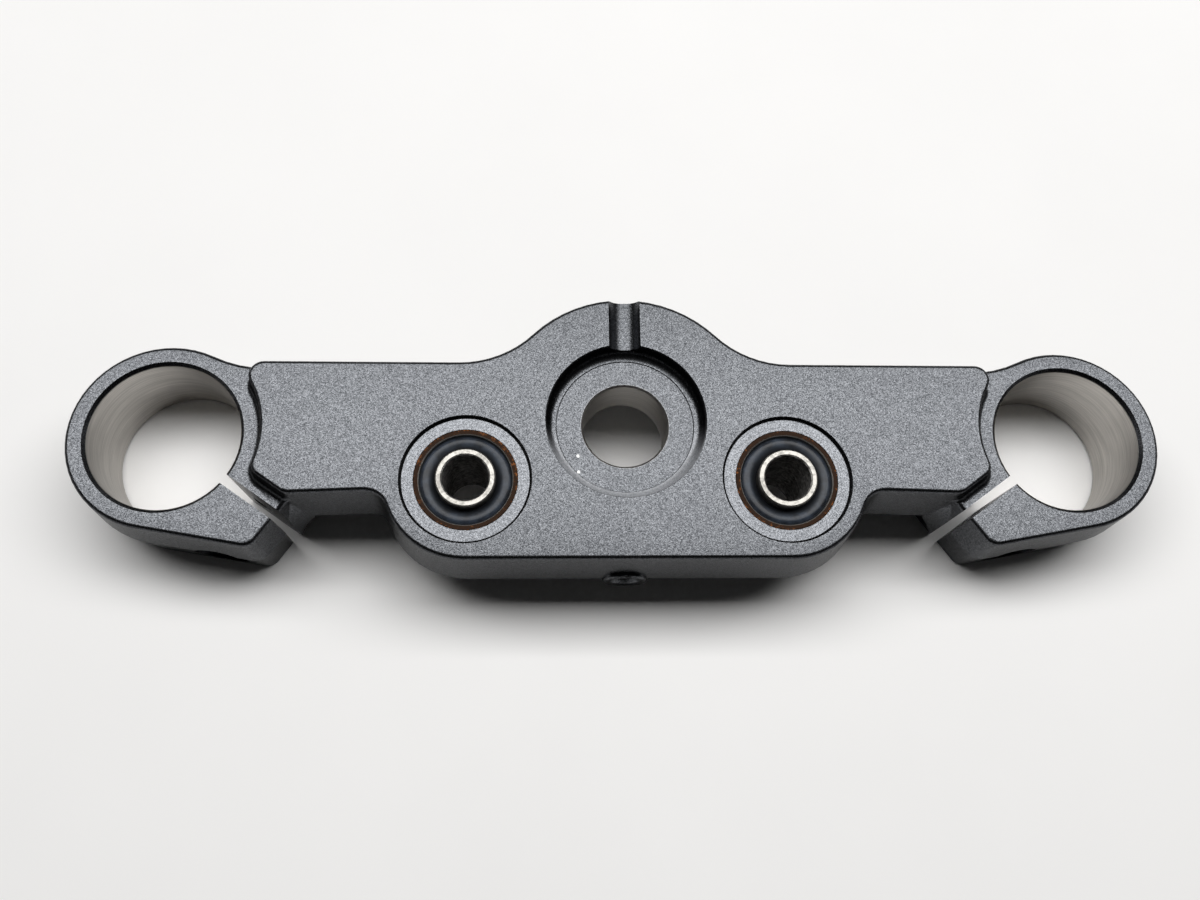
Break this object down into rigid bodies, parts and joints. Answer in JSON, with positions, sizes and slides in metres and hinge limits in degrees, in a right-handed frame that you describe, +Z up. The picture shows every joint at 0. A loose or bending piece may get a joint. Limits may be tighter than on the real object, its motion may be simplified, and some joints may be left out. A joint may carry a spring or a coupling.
{
  "type": "triple clamp",
  "caption": "Cast upper fork clamp plate with two split fork bores on its arms, a recessed stem bore and two rubber-bushed handlebar holes.",
  "frame": {"origin": "On the steering stem's axis, on the seat of the stem nut in the recess of the plate's top.", "axes": "+X along the line of the two fork bores to the rider's right, +Y level and back to the rider, +Z up along the stem"},
  "size_m": [0.304, 0.0784, 0.0347],
  "materials": {
    "coated_casting": "satin",
    "rusty_steel": "matte",
    "bush_rubber": "satin",
    "zinc_steel": "satin"
  },
  "bodies": {
    "root": {"yoke": "coated_casting", "left_bush_outer_sleeve": "rusty_steel", "right_bush_outer_sleeve": "rusty_steel", "left_bush_rubber": "bush_rubber", "right_bush_rubber": "bush_rubber", "left_bush_inner_sleeve": "zinc_steel", "right_bush_inner_sleeve": "zinc_steel"}
  },
  "joints": []
}
